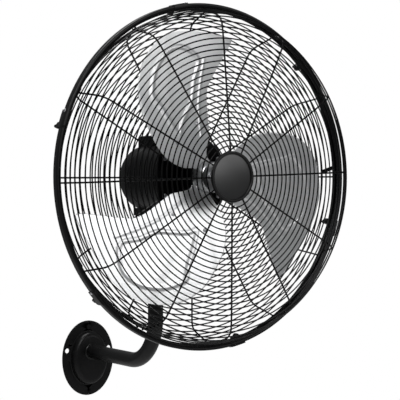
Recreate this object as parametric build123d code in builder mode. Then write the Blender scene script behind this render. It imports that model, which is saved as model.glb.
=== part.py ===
from build123d import *
from math import cos, radians, sin, tan
import os

# Wall fan, millimetres. X is the width, Z is up, the wall is the plane Y = 0 and the
# fan faces -Y. The origin is the centre of the wall plate's back.

# Overall layout
standoff = 470.0        # wall to the middle of the rim
axis_height = 404.0     # fan axis above the middle of the wall plate
touch = 0.05            # seat between pieces that rest on each other
running_gap = 0.4       # clearance between pieces that move past each other
round_sides = 30        # flats round the motor and the other large round pieces
small_sides = 24        # flats round tubes and medium round pieces
pin_sides = 12          # flats round pins, bolts and their bores

# Wall plate and arm
plate_width = 131.0
plate_height = 168.0
plate_thick = 3.0
boss_width = 88.0
boss_height = 118.0
boss_rise = 18.0
boss_bevel = 8.0
boss_wall = 3.0
wall_hole = 11.0
top_hole_height = 70.0
side_hole_offset = 53.5
side_hole_height = 19.0
tube_outer = 32.0
tube_height = 16.0
tube_start = 4.0
bend_radius = 95.0

# Tilt joint below the motor
pivot_station = -188.0
pivot_drop = 100.0
pivot_round = 18.0
lug_thick = 12.0
cheek_thick = 6.0
cheek_drop = 25.0
socket_wall = 4.0
socket_length = 45.0
socket_cap = 3.0
bolt_size = 10.0
bolt_head = 17.0
bolt_head_thick = 6.4
knob_size = 38.0
knob_thick = 14.0
knob_neck = 20.0
knob_neck_thick = 6.0
foot_width = 36.0
foot_length = 76.0
foot_forward = 20.0
foot_clear = 21.0

# Motor
motor_radius = 67.0
barrel_wall = 6.0
bell_front = -60.0
bell_flange = 3.0
flange_radius = 99.0
bell_boss = 26.0
bell_nose = 10.0
barrel_front = -66.0
barrel_back = -196.0
shield_thick = 4.0
cover_back = -229.0
cover_wall = 2.5
cover_bevel = 9.0
housing_radius = 21.0
bearing_outer = 32.0
bearing_width = 10.0
shaft_size = 12.0
shaft_clear = 2.0
shaft_front = 22.0
shaft_back = -213.0
stator_front = -95.0
stator_back = -165.0
stator_bore = 66.4
air_gap = 0.6
winding_inner = 36.0
winding_outer = 57.0
winding_reach = 17.0
vent_long = 16.0
vent_wide = 4.0
vent_radius = 46.0
vent_angles = (30, 90, 150, 210, 330)
box_width = 36.0
box_length = 50.0
box_station = -203.0
box_top = 87.0
box_wall = 2.0
box_foot = 50.0
box_slack = 2.0
capacitor_width = 28.0
capacitor_height = 14.0
gland_radius = 8.0
gland_long = 14.0
gland_nut = 5.0
gland_circle = 46.0

# Hub and blades
hub_radius = 30.0
hub_back = -48.0
hub_front = 22.0
collar_radius = 36.0
collar_back = -12.0
blade_sheet = 1.5
arm_sheet = 2.5
blade_first = 116.4
blade_reach = 300.0
arm_reach = 114.0
nut_size = 19.0
nut_thick = 9.0

# Guards and rim
spoke_wire = 3.2
ring_corner = 1.6
rim_wire = 4.6
ring_pitch = 10.85
first_front_ring = 29.0
first_rear_ring = 22.0
front_turn = 2.1
rear_turn = 0.4
spoke_count = 12
ring_sides = 24
band_sides = 48
small_ring_sides = 12
small_ring = 150.0
front_rings = 28
rear_rings = 21
band_radius = 339.0
band_width = 16.0
band_depth = 6.0
band_sheet = 1.6
centre_plate_radius = 49.5
centre_plate_back = 79.65
centre_plate_thick = 2.0
badge_radius = 43.0
badge_step = 3.4
badge_edge = 1.6
badge_ring_thick = 3.2
rear_plate_radius = 115.0
rear_plate_thick = 3.0
rear_plate_bore = 34.0
clip_first = 41.0
clip_count = 6
clip_long = 30.0
clip_sheet = 2.0
clip_tab = 11.0
clip_boss = 12.0
clip_screw = 6.0
clip_screw_head = 10.0
clip_screw_head_thick = 4.0
clip_screw_tail = 17.0

# Speed control on the back of the motor
control_drop = 34.0
control_knob = 30.0
control_knob_thick = 13.0
switch_size = 22.0
switch_deep = 12.0
spindle_size = 6.0

# Derived sizes
lip_station = band_width / 2 - band_sheet
rim_wire_station = lip_station - touch - rim_wire / 2
rim_wire_radius = band_radius - band_sheet - 0.8 - rim_wire / 2
spoke_end_dip = spoke_wire / 2 * tan(radians(180 / ring_sides))
spoke_end_radius = rim_wire_radius - rim_wire / 2 - spoke_end_dip - touch - spoke_wire / 2
spoke_end_station = rim_wire_station - rim_wire / 2
tube_radius = tube_outer / 2
socket_top = pivot_drop + cheek_drop
socket_radius = tube_radius + socket_wall
tube_top = socket_top + socket_cap + touch
pivot_y = -(standoff + pivot_station)
barrel_inner = motor_radius - barrel_wall
cheek_inner = lug_thick / 2 + 0.3
cheek_outer = cheek_inner + cheek_thick
knob_face = cheek_outer + 0.3

side_plane = Plane(origin=(0, -standoff, axis_height), x_dir=(0, -1, 0), z_dir=(-1, 0, 0))
wall_plane = Plane(origin=(0, 0, 0), x_dir=(1, 0, 0), z_dir=(0, -1, 0))
tilt_point = (pivot_station, -pivot_drop)


def station(forward):
    """Plane square to the fan axis: local x along X, local y up."""
    origin = (0, -(standoff + forward), axis_height)
    return Plane(origin=origin, x_dir=(1, 0, 0), z_dir=(0, -1, 0))


def radial_plane(angle):
    """Plane through the fan axis: local x is forward, local y points out along the angle."""
    normal = (-sin(radians(angle)), 0, cos(radians(angle)))
    return Plane(origin=(0, -standoff, axis_height), x_dir=(0, -1, 0), z_dir=normal)


def across(offset):
    """Plane parallel to the side plane at the given X, extruding towards +X."""
    return Plane(origin=(offset, -standoff, axis_height), x_dir=(0, 1, 0), z_dir=(1, 0, 0))


def level(drop):
    """Horizontal plane below the fan axis, centred on the tilt pivot."""
    return Plane(origin=(0, pivot_y, axis_height - drop), x_dir=(1, 0, 0), z_dir=(0, 0, 1))


def polar(radius, angle):
    return (radius * cos(radians(angle)), radius * sin(radians(angle)))


def spread(count, first):
    return [first + 360 / count * k for k in range(count)]


os.makedirs("parts", exist_ok=True)


def oval(width, height):
    """Corner points of an ellipse drawn with short flats."""
    turns = spread(small_sides, 0)
    return [(width / 2 * cos(radians(t)), height / 2 * sin(radians(t))) for t in turns]


# Wall plate: an oval pressing with a hollow raised boss that holds the arm.
shallow_hollow = plate_thick + boss_rise - boss_bevel - 1
deep_hollow = plate_thick + boss_rise - boss_wall
boss_throat = boss_wall + boss_bevel
with BuildPart() as wall_plate:
    with BuildSketch(wall_plane):
        Polygon(*oval(plate_width, plate_height), align=None)
    extrude(amount=plate_thick)
    with BuildSketch(wall_plane):
        Polygon(*oval(boss_width, boss_height), align=None)
    extrude(amount=plate_thick + boss_rise)
    chamfer(wall_plate.edges().group_by(Axis.Y)[0], length=boss_bevel)
    for wall, depth in ((boss_wall, shallow_hollow), (boss_throat, deep_hollow)):
        with BuildSketch(wall_plane):
            Polygon(*oval(boss_width - 2 * wall, boss_height - 2 * wall), align=None)
        extrude(amount=depth, mode=Mode.SUBTRACT)
    with BuildSketch(wall_plane):
        with Locations((0, tube_height)):
            RegularPolygon(tube_radius + touch, small_sides)
        with Locations((0, top_hole_height)):
            Circle(wall_hole / 2)
        with Locations((-side_hole_offset, side_hole_height)):
            Circle(wall_hole / 2)
        with Locations((side_hole_offset, side_hole_height)):
            Circle(wall_hole / 2)
    extrude(amount=plate_thick + boss_rise, mode=Mode.SUBTRACT)

# Arm: one steel tube from the boss, bent up to the tilt joint.
bend_centre = (pivot_y + bend_radius, tube_height + bend_radius)
with BuildPart() as arm_tube:
    bend = [
        (0, bend_centre[0] - bend_radius * sin(radians(t)),
         bend_centre[1] - bend_radius * cos(radians(t)))
        for t in range(0, 91, 15)
    ]
    with BuildLine() as arm_path:
        Polyline((0, -tube_start, tube_height), *bend, (0, pivot_y, axis_height - tube_top))
    with BuildSketch(Plane(origin=arm_path.line @ 0, x_dir=(1, 0, 0), z_dir=(0, -1, 0))):
        RegularPolygon(tube_radius, small_sides)
    sweep(path=arm_path.wire(), transition=Transition.RIGHT)

# Tilt fork: a socket pushed over the tube, with two cheeks round the motor's lug.
with BuildPart() as tilt_fork:
    with BuildSketch(level(socket_top + socket_length)):
        RegularPolygon(socket_radius, small_sides)
    extrude(amount=socket_length)
    with BuildSketch(level(socket_top + socket_length)):
        RegularPolygon(tube_radius + touch, small_sides)
    extrude(amount=socket_length - socket_cap, mode=Mode.SUBTRACT)
    for offset in (cheek_inner, -cheek_outer):
        with BuildSketch(across(offset)) as cheek:
            with Locations((-pivot_station, -pivot_drop)):
                RegularPolygon(pivot_round, small_sides)
            with Locations((-pivot_station, -(pivot_drop + cheek_drop / 2))):
                Rectangle(2 * pivot_round, cheek_drop)
            with Locations((-pivot_station, -pivot_drop)):
                Circle(bolt_size / 2 + touch, mode=Mode.SUBTRACT)
        extrude(amount=cheek_thick)

# Tilt bolt through the fork and the lug.
with BuildPart() as tilt_bolt:
    with BuildSketch(across(-cheek_outer - bolt_head_thick)):
        with Locations((-pivot_station, -pivot_drop)):
            RegularPolygon(bolt_head / 2, 6, major_radius=False)
    extrude(amount=bolt_head_thick)
    with BuildSketch(across(-cheek_outer)):
        with Locations((-pivot_station, -pivot_drop)):
            Circle(bolt_size / 2)
    extrude(amount=cheek_outer + knob_face + knob_neck_thick + knob_thick / 2)

# Hand knob that clamps the tilt joint.
with BuildPart() as tilt_knob:
    with BuildSketch(across(knob_face)):
        with Locations((-pivot_station, -pivot_drop)):
            RegularPolygon(knob_neck / 2, pin_sides)
    extrude(amount=knob_neck_thick)
    with BuildSketch(across(knob_face + knob_neck_thick)):
        with Locations((-pivot_station, -pivot_drop)):
            RegularPolygon(knob_size / 2, 8)
    extrude(amount=knob_thick)
    with BuildSketch(across(knob_face)):
        with Locations((-pivot_station, -pivot_drop)):
            RegularPolygon(bolt_size / 2 + running_gap, pin_sides)
    extrude(amount=knob_neck_thick + knob_thick - 3, mode=Mode.SUBTRACT)

# Foot: the saddle under the motor with the lug that tilts in the fork.
with BuildPart() as motor_foot:
    with BuildSketch(level(pivot_drop - foot_clear)):
        with Locations((0, -foot_forward)):
            Rectangle(foot_width, foot_length)
    extrude(amount=foot_clear)
    with BuildSketch(side_plane):
        with Locations(tilt_point):
            RegularPolygon(pivot_round, small_sides)
        with Locations((pivot_station, -pivot_drop + foot_clear / 2)):
            Rectangle(2 * pivot_round, foot_clear)
    extrude(amount=lug_thick / 2, both=True)
    with BuildSketch(side_plane):
        with Locations(tilt_point):
            RegularPolygon(bolt_size / 2 + running_gap, pin_sides)
    extrude(amount=lug_thick, both=True, mode=Mode.SUBTRACT)
    with BuildSketch(station(cover_back)):
        RegularPolygon(motor_radius + touch, round_sides)
    extrude(amount=-cover_back, mode=Mode.SUBTRACT)

# Front bell of the motor: flange for the guard plate and nose with the bearing seat.
front_seat = barrel_front + bearing_width
with BuildPart() as motor_bell:
    with BuildSketch(station(barrel_front)):
        RegularPolygon(motor_radius, round_sides)
    extrude(amount=bell_front - barrel_front)
    with BuildSketch(station(bell_front - bell_flange)):
        RegularPolygon(flange_radius, round_sides)
    extrude(amount=bell_flange)
    with BuildSketch(station(bell_front)):
        RegularPolygon(bell_boss, small_sides)
    extrude(amount=bell_nose)
    with BuildSketch(station(barrel_front)):
        RegularPolygon(bearing_outer / 2 + touch, small_sides)
    extrude(amount=bearing_width, mode=Mode.SUBTRACT)
    with BuildSketch(station(front_seat)):
        RegularPolygon(shaft_size / 2 + shaft_clear, pin_sides)
    extrude(amount=2 * bell_nose, mode=Mode.SUBTRACT)

with BuildPart() as motor_barrel:
    with BuildSketch(station(barrel_back)):
        RegularPolygon(motor_radius, round_sides)
        RegularPolygon(barrel_inner, round_sides, mode=Mode.SUBTRACT)
    extrude(amount=barrel_front - barrel_back)

# Rear bell with the second bearing seat.
shield_back = barrel_back - shield_thick
rear_seat = barrel_back - bearing_width
with BuildPart() as motor_shield:
    with BuildSketch(station(shield_back)):
        RegularPolygon(motor_radius, round_sides)
    extrude(amount=shield_thick)
    with BuildSketch(station(rear_seat - 2)):
        RegularPolygon(housing_radius, small_sides)
    extrude(amount=shield_back - rear_seat + 2)
    with BuildSketch(station(rear_seat)):
        RegularPolygon(bearing_outer / 2 + touch, small_sides)
    extrude(amount=bearing_width, mode=Mode.SUBTRACT)
    with BuildSketch(station(rear_seat - 2)):
        RegularPolygon(shaft_size / 2 + shaft_clear, pin_sides)
    extrude(amount=2, mode=Mode.SUBTRACT)

# Rear cover: a shallow cup with cooling slots and the hole for the switch.
with BuildPart() as motor_cover:
    with BuildSketch(station(cover_back)):
        RegularPolygon(motor_radius, round_sides)
    extrude(amount=shield_back - cover_back)
    chamfer(motor_cover.edges().group_by(Axis.Y)[-1], length=cover_bevel)
    with BuildSketch(station(cover_back + cover_wall)):
        RegularPolygon(motor_radius - cover_bevel, round_sides)
    extrude(amount=shield_back - cover_back, mode=Mode.SUBTRACT)
    with BuildSketch(station(cover_back)):
        for angle in vent_angles:
            with Locations(Location((*polar(vent_radius, angle), 0), angle)):
                Rectangle(vent_long, vent_wide)
        with Locations((0, -control_drop)):
            RegularPolygon(spindle_size / 2 + running_gap, pin_sides)
    extrude(amount=cover_wall, mode=Mode.SUBTRACT)

# Inside the motor: laminated stator, its two winding ends and the bearings.
with BuildPart() as stator_core:
    with BuildSketch(station(stator_back)):
        RegularPolygon(barrel_inner - touch, round_sides)
        RegularPolygon(stator_bore / 2, small_sides, mode=Mode.SUBTRACT)
    extrude(amount=stator_front - stator_back)

with BuildPart() as stator_windings:
    for face, reach in ((stator_front, winding_reach), (stator_back, -winding_reach)):
        with BuildSketch(station(face)):
            RegularPolygon(winding_outer, small_sides)
            RegularPolygon(winding_inner, small_sides, mode=Mode.SUBTRACT)
        extrude(amount=reach)

with BuildPart() as motor_bearings:
    for back in (barrel_front, rear_seat):
        with BuildSketch(station(back)):
            RegularPolygon(bearing_outer / 2, small_sides)
            RegularPolygon(shaft_size / 2 + running_gap, pin_sides, mode=Mode.SUBTRACT)
        extrude(amount=bearing_width)

# Capacitor and its cover on top of the motor.
with BuildPart() as capacitor:
    capacitor_length = box_length - 2 * box_wall - 2 * box_slack
    with BuildSketch(station(box_station - capacitor_length / 2)):
        with Locations((0, motor_radius + touch + capacitor_height / 2)):
            Rectangle(capacitor_width, capacitor_height)
    extrude(amount=capacitor_length)

with BuildPart() as capacitor_cover:
    with BuildSketch(station(box_station - box_length / 2)):
        with Locations((0, (box_top + box_foot) / 2)):
            Rectangle(box_width, box_top - box_foot)
    extrude(amount=box_length)
    with BuildSketch(station(box_station - box_length / 2 + box_wall)):
        with Locations((0, (box_top - box_wall + box_foot) / 2)):
            Rectangle(box_width - 2 * box_wall - box_slack, box_top - box_wall - box_foot)
    extrude(amount=box_length - 2 * box_wall, mode=Mode.SUBTRACT)
    with BuildSketch(station(cover_back)):
        RegularPolygon(motor_radius + touch, round_sides)
    extrude(amount=-cover_back, mode=Mode.SUBTRACT)

# Cable gland on the back of the cover.
with BuildPart() as cable_gland:
    with BuildSketch(station(cover_back)):
        with Locations((gland_circle, 0)):
            RegularPolygon(gland_radius, 6, major_radius=False)
    extrude(amount=-gland_nut)
    with BuildSketch(station(cover_back - gland_nut)):
        with Locations((gland_circle, 0)):
            RegularPolygon(gland_radius - 1.5, pin_sides)
    extrude(amount=-(gland_long - gland_nut))

# Speed switch inside the cover, its spindle and knob outside.
with BuildPart() as speed_switch:
    with BuildSketch(station(cover_back + cover_wall)):
        with Locations((0, -control_drop)):
            Rectangle(switch_size, switch_size)
            RegularPolygon(spindle_size / 2 + running_gap, pin_sides, mode=Mode.SUBTRACT)
    extrude(amount=switch_deep)

with BuildPart() as speed_knob:
    with BuildSketch(station(cover_back - running_gap)):
        with Locations((0, -control_drop)):
            RegularPolygon(control_knob / 2, small_sides)
    extrude(amount=-control_knob_thick)
    with BuildSketch(station(cover_back - running_gap - control_knob_thick)):
        with Locations((0, -control_drop)):
            Rectangle(5, control_knob - 6)
    extrude(amount=-4)
    with BuildSketch(station(cover_back - running_gap)):
        with Locations((0, -control_drop)):
            Circle(spindle_size / 2)
    extrude(amount=running_gap + cover_wall + switch_deep - 3)

# Rear guard plate, screwed to the motor flange.
plate_back = bell_front
plate_front = bell_front + rear_plate_thick
with BuildPart() as rear_plate:
    with BuildSketch(station(plate_back)):
        RegularPolygon(rear_plate_radius, round_sides)
        RegularPolygon(rear_plate_bore, small_sides, mode=Mode.SUBTRACT)
    extrude(amount=rear_plate_thick)


def guard_spoke(profile, angle):
    """One bent spoke; the profile is a list of (forward, radius) points."""
    with BuildPart() as spoke:
        with BuildLine(radial_plane(angle)) as line:
            Polyline(*profile)
        square = Plane(origin=line.line @ 0, x_dir=radial_plane(angle).z_dir, z_dir=line.line % 0)
        with BuildSketch(square):
            Rectangle(spoke_wire, spoke_wire)
        sweep(path=line.wire(), transition=Transition.RIGHT)
    return spoke.part


def guard_ring(forward, radius, apex, turn):
    """One ring wire welded on the spokes; apex is the side its ridge faces."""
    sides = small_ring_sides if radius < small_ring else ring_sides
    corners = [polar(radius, angle) for angle in spread(sides, turn)]
    middle = ((corners[0][0] + corners[-1][0]) / 2, (corners[0][1] + corners[-1][1]) / 2)
    with BuildPart() as ring:
        with BuildLine(station(forward)) as loop:
            Polyline(middle, *corners, middle)
        with BuildSketch(Plane(origin=loop.line @ 0, x_dir=(0, -apex, 0), z_dir=loop.line % 0)):
            RegularPolygon(ring_corner, 3)
        sweep(path=loop.wire(), transition=Transition.RIGHT)
    return ring.part


def rim_ring(forward, turn):
    """Thick wire at a guard's edge, held inside the rim band."""
    with BuildPart() as ring:
        with BuildSketch(station(forward - rim_wire / 2)):
            RegularPolygon(rim_wire_radius + rim_wire / 2, ring_sides, rotation=turn)
            RegularPolygon(rim_wire_radius - rim_wire / 2, ring_sides, rotation=turn,
                           mode=Mode.SUBTRACT)
        extrude(amount=rim_wire)
    return ring.part


def ring_seats(profile, first, count, side):
    """Centres of the rings at equal steps along a spoke, on its outer side."""
    seats = []
    path = Wire.make_polygon([(forward, radius, 0) for forward, radius in profile], close=False)
    for k in range(count):
        point = path.position_at(first + k * ring_pitch, position_mode=PositionMode.LENGTH)
        along = path.tangent_at(first + k * ring_pitch, position_mode=PositionMode.LENGTH)
        outward = (side * along.Y, -side * along.X)
        reach = ring_corner * (abs(outward[0]) / 2 + abs(outward[1]) * sin(radians(60)))
        dip = spoke_wire / 2 * tan(radians(180 / ring_sides)) * abs(outward[1])
        lift = spoke_wire / 2 + reach + dip + touch
        seats.append((point.X + lift * outward[0], point.Y + lift * outward[1]))
    return seats


# Front guard: bent spokes from the centre plate to the rim, ring wires on their front.
front_profile = [
    (78.0, 30.0),
    (78.0, 50.0),
    (65.0, 290.0),
    (10.0, spoke_end_radius),
    (spoke_end_station, spoke_end_radius),
]
front_seats = ring_seats(front_profile, first_front_ring, front_rings, 1)
with BuildPart() as front_guard:
    add([guard_spoke(front_profile, angle) for angle in spread(spoke_count, front_turn)])
    add([guard_ring(*seat, 1, front_turn) for seat in front_seats])
    add(rim_ring(rim_wire_station, front_turn))

# Rear guard: the same wires behind the blades, flat and then turned up to the rim.
rear_profile = [
    (plate_front + touch + spoke_wire / 2, 100.0),
    (-50.0, 290.0),
    (-14.0, spoke_end_radius),
    (-spoke_end_station, spoke_end_radius),
]
rear_seats = ring_seats(rear_profile, first_rear_ring, rear_rings, -1)
with BuildPart() as rear_guard:
    add([guard_spoke(rear_profile, angle) for angle in spread(spoke_count, rear_turn)])
    add([guard_ring(*seat, -1, rear_turn) for seat in rear_seats])
    add(rim_ring(-rim_wire_station, rear_turn))

# Rim band: a rolled channel that holds both guards' edges.
with BuildPart() as rim_band:
    with BuildSketch(station(-band_width / 2)):
        RegularPolygon(band_radius, band_sides, rotation=front_turn)
        RegularPolygon(band_radius - band_depth, band_sides, rotation=front_turn,
                       mode=Mode.SUBTRACT)
    extrude(amount=band_width)
    with BuildSketch(station(-lip_station)):
        RegularPolygon(band_radius - band_sheet, band_sides, rotation=front_turn)
    extrude(amount=2 * lip_station, mode=Mode.SUBTRACT)

# Clips: folded straps over the band, each drawn tight by a long screw.
clip_half = band_width / 2 + touch + clip_sheet
clip_outer = band_radius + touch + clip_sheet
clip_inner = clip_outer - clip_tab
clip_screw_radius = clip_outer + clip_boss / 2 - 2
with BuildPart() as rim_clips:
    with BuildSketch(station(-clip_half)):
        for angle in spread(clip_count, clip_first):
            with Locations(Location((*polar((clip_outer + clip_inner) / 2, angle), 0), angle)):
                Rectangle(clip_tab, clip_long)
            with Locations(Location((*polar(clip_screw_radius, angle), 0), angle)):
                Rectangle(clip_boss, clip_boss)
                RegularPolygon(clip_screw / 2 + touch, 8, mode=Mode.SUBTRACT)
    extrude(amount=2 * clip_half)
    with BuildSketch(station(-band_width / 2 - touch)):
        RegularPolygon(band_radius + touch, band_sides, rotation=front_turn)
    extrude(amount=band_width + 2 * touch, mode=Mode.SUBTRACT)

with BuildPart() as clip_screws:
    for angle in spread(clip_count, clip_first):
        with BuildSketch(station(clip_half)):
            with Locations(Location((*polar(clip_screw_radius, angle), 0), angle)):
                RegularPolygon(clip_screw_head / 2, 6, major_radius=False)
    extrude(amount=clip_screw_head_thick)
    for angle in spread(clip_count, clip_first):
        with BuildSketch(station(clip_half)):
            with Locations(Location((*polar(clip_screw_radius, angle), 0), angle)):
                RegularPolygon(clip_screw / 2, 8)
    extrude(amount=-(2 * clip_half + clip_screw_tail))

# Centre of the front guard: pressed plate, raised ring and blank domed badge.
with BuildPart() as front_plate:
    with BuildSketch(station(centre_plate_back)):
        RegularPolygon(centre_plate_radius, round_sides)
    extrude(amount=centre_plate_thick)

plate_face = centre_plate_back + centre_plate_thick
with BuildPart() as badge_ring:
    with BuildSketch(station(plate_face)):
        RegularPolygon(centre_plate_radius, round_sides)
    extrude(amount=badge_ring_thick)
    chamfer(badge_ring.edges().group_by(Axis.Y)[0], length=2)
    with BuildSketch(station(plate_face)):
        RegularPolygon(badge_radius + touch, round_sides)
    extrude(amount=badge_ring_thick, mode=Mode.SUBTRACT)

with BuildPart() as badge_disc:
    with BuildSketch(station(plate_face)):
        RegularPolygon(badge_radius, round_sides)
    extrude(amount=badge_step)
    chamfer(badge_disc.edges().group_by(Axis.Y)[0], length=badge_edge)

# Rotor: laminated core, shaft, cast hub and the bolt that holds it.
with BuildPart() as rotor_core:
    with BuildSketch(station(stator_back)):
        RegularPolygon(stator_bore / 2 - air_gap, small_sides)
        Circle(shaft_size / 2 + touch, mode=Mode.SUBTRACT)
    extrude(amount=stator_front - stator_back)

with BuildPart() as motor_shaft:
    with BuildSketch(station(shaft_back)):
        Circle(shaft_size / 2)
    extrude(amount=shaft_front - shaft_back)

with BuildPart() as fan_hub:
    with BuildSketch(station(hub_back)):
        RegularPolygon(hub_radius, round_sides)
        Circle(shaft_size / 2 + touch, mode=Mode.SUBTRACT)
    extrude(amount=hub_front - hub_back)

with BuildPart() as hub_bolt:
    with BuildSketch(station(hub_front)):
        RegularPolygon(nut_size / 2 + 4, small_sides)
    extrude(amount=2)
    with BuildSketch(station(hub_front + 2)):
        RegularPolygon(nut_size / 2, 6, major_radius=False)
    extrude(amount=nut_thick)

# Blades: cambered and twisted sheets. Heights are forward of the rim's middle, at the
# leading end, the middle and the trailing end of a section.
section_leading = -210.0
section_trailing = 130.0
section_steps = 4
blade_slab = 180.0
root_section = (24.0, (-54.0, -12.0, 40.0))
tip_section = (306.0, (-22.0, -4.0, 30.0))


def section_edge(heights, lift):
    """Points of one face of a section, from the leading end to the trailing end."""
    leading, middle, trailing = heights
    points = []
    for k in range(section_steps + 1):
        t = k / section_steps
        across_blade = section_leading + t * (section_trailing - section_leading)
        curve = leading * (1 - t) * (1 - 2 * t) + 4 * middle * t * (1 - t)
        points.append((across_blade, curve + trailing * t * (2 * t - 1) + lift))
    return points


def blade_layer(angle, low, high):
    """The twisted sheet between two heights measured from the blade's back."""
    outward = (cos(radians(angle)), 0, sin(radians(angle)))
    sideways = (-sin(radians(angle)), 0, cos(radians(angle)))
    with BuildPart() as layer:
        for radius, heights in (root_section, tip_section):
            centre = (radius * outward[0], -standoff, axis_height + radius * outward[2])
            with BuildSketch(Plane(origin=centre, x_dir=sideways, z_dir=outward)):
                with BuildLine():
                    Polyline(
                        *section_edge(heights, low),
                        *reversed(section_edge(heights, high)),
                        close=True,
                    )
                make_face()
        loft(ruled=True)
    return layer.part


def scaled(outline, reach):
    return [(reach * out, reach * side) for out, side in outline]


def blade_view(angle, forward):
    """Plane square to the fan axis with local x out along the blade."""
    outward = (cos(radians(angle)), 0, sin(radians(angle)))
    return Plane(origin=(0, -(standoff + forward), axis_height), x_dir=outward, z_dir=(0, -1, 0))


# Corners of a blade's outline as shares of its reach: out along the blade, then sideways
# against the turning.
blade_outline = (
    (0.23, 0.29), (0.35, 0.35), (0.50, 0.39), (0.67, 0.38), (0.80, 0.31), (0.92, 0.18),
    (0.99, 0.00), (1.00, -0.18), (0.95, -0.37), (0.86, -0.51), (0.76, -0.63), (0.69, -0.66),
    (0.62, -0.54), (0.51, -0.36), (0.38, -0.23), (0.25, -0.14),
)


def fan_blade(angle):
    with BuildPart() as blade:
        add(blade_layer(angle, 0, blade_sheet))
        with BuildSketch(blade_view(angle, -blade_slab / 2)):
            with BuildLine():
                Polyline(*scaled(blade_outline, blade_reach), close=True)
            make_face()
        extrude(amount=blade_slab, mode=Mode.INTERSECT)
    return blade.part


with BuildPart() as blade_1:
    add(fan_blade(blade_first))

with BuildPart() as blade_2:
    add(fan_blade(blade_first + 120))

with BuildPart() as blade_3:
    add(fan_blade(blade_first + 240))


arm_outline = ((0.25, -0.18), (0.82, -0.33), (1.00, -0.25), (0.90, 0.54), (0.70, 0.58), (0.25, 0.18))


def spider_arm(angle):
    with BuildPart() as arm:
        add(blade_layer(angle, -touch - arm_sheet, -touch))
        with BuildSketch(blade_view(angle, -blade_slab / 2)):
            with BuildLine():
                Polyline(*scaled(arm_outline, arm_reach), close=True)
            make_face()
        extrude(amount=blade_slab, mode=Mode.INTERSECT)
    return arm.part


# Spider: a collar round the hub with one arm behind each blade.
with BuildPart() as blade_spider:
    with BuildSketch(station(collar_back)):
        RegularPolygon(collar_radius, round_sides)
    extrude(amount=hub_front - collar_back)
    add([spider_arm(angle) for angle in spread(3, blade_first)])
    with BuildSketch(station(hub_back - 10)):
        RegularPolygon(hub_radius + touch, round_sides)
    extrude(amount=hub_front - hub_back + 20, mode=Mode.SUBTRACT)


pieces = {
    "wall_plate": wall_plate,
    "arm_tube": arm_tube,
    "tilt_fork": tilt_fork,
    "tilt_bolt": tilt_bolt,
    "tilt_knob": tilt_knob,
    "motor_foot": motor_foot,
    "motor_bell": motor_bell,
    "motor_barrel": motor_barrel,
    "motor_shield": motor_shield,
    "motor_cover": motor_cover,
    "stator_core": stator_core,
    "stator_windings": stator_windings,
    "motor_bearings": motor_bearings,
    "capacitor": capacitor,
    "capacitor_cover": capacitor_cover,
    "cable_gland": cable_gland,
    "speed_switch": speed_switch,
    "speed_knob": speed_knob,
    "rear_plate": rear_plate,
    "rear_guard": rear_guard,
    "front_guard": front_guard,
    "rim_band": rim_band,
    "rim_clips": rim_clips,
    "clip_screws": clip_screws,
    "front_plate": front_plate,
    "badge_ring": badge_ring,
    "badge_disc": badge_disc,
    "rotor_core": rotor_core,
    "motor_shaft": motor_shaft,
    "fan_hub": fan_hub,
    "hub_bolt": hub_bolt,
    "blade_spider": blade_spider,
    "blade_1": blade_1,
    "blade_2": blade_2,
    "blade_3": blade_3,
}
for name, piece in pieces.items():
    piece.part.label = name
    export_step(piece.part, f"parts/{name}.step")
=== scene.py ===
from math import cos, hypot, pi, radians, sin, sqrt
import bmesh
import bpy
from mathutils import Matrix, Vector


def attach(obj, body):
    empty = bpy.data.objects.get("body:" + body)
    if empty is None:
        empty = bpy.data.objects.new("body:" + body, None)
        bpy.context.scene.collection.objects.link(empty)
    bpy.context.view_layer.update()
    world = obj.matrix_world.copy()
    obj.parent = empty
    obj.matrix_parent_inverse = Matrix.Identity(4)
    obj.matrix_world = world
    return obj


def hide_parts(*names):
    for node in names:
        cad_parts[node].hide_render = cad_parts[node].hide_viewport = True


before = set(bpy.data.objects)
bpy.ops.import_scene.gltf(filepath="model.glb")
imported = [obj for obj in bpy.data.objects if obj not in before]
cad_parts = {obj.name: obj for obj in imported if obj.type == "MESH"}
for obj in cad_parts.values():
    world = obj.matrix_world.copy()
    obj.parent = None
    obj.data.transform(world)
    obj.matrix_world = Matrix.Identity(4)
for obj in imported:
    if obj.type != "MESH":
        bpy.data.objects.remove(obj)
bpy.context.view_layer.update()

# The room: a white backdrop, a pale floor well below the fan and soft studio lamps.
# The camera stands in front of the fan and to its left, a little below its axis, and looks
# at the guard through a long lens.
scene = bpy.context.scene
scene.view_settings.view_transform = "Standard"
camera_data = bpy.data.cameras.new("camera")
camera_data.lens = 117.0
camera_data.sensor_width = 36.0
camera_data.clip_end = 50.0
camera = bpy.data.objects.new("camera", camera_data)
scene.collection.objects.link(camera)
scene.camera = camera
camera.location = (-1.468, -2.548, 0.3847)
camera.rotation_euler = Vector((0.572, 0.820, -0.00995)).to_track_quat("-Z", "Y").to_euler()

aim = Vector((0.0, -0.45, 0.40))
lamps = (
    ("key", (-1.9, -2.4, 2.6), 1.6, 66.0),
    ("front", (0.75, -3.2, 1.25), 1.5, 20.0),
    ("fill", (2.6, -3.3, 1.6), 1.4, 13.0),
    ("top", (-0.2, 0.6, 2.8), 1.6, 46.0),
)
for name, place, width, power in lamps:
    lamp_data = bpy.data.lights.new(name, "AREA")
    lamp_data.size = width
    lamp_data.energy = power
    lamp = bpy.data.objects.new(name, lamp_data)
    scene.collection.objects.link(lamp)
    lamp.location = place
    lamp.rotation_euler = (aim - Vector(place)).to_track_quat("-Z", "Y").to_euler()


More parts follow.
